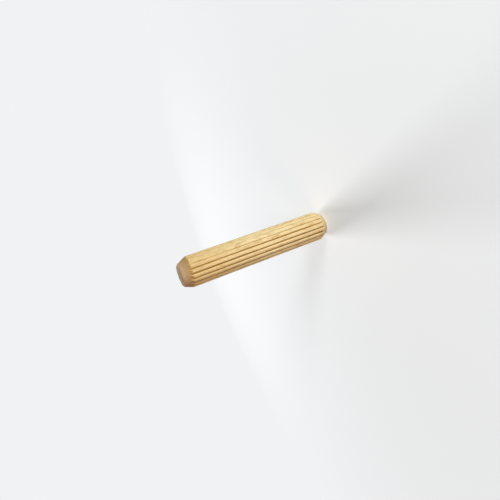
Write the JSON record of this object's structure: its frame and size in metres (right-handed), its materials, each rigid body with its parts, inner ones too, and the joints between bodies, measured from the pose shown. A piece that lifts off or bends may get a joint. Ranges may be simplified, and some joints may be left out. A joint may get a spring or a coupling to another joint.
{
  "type": "fluted wooden dowel pin",
  "caption": "Straight hardwood dowel pin with lengthwise flutes and chamfered ends, glued and pressed into drilled holes to line up and join two boards.",
  "frame": {"origin": "middle of the lower end face, which the pin stands on", "axes": "+Z along the pin's axis, towards its upper end; +X through the middle of a land"},
  "size_m": [0.0095, 0.0096, 0.0508],
  "materials": {
    "hardwood": "bare, planed and sanded"
  },
  "bodies": {
    "root": {"fluted_dowel": "hardwood"}
  },
  "joints": []
}
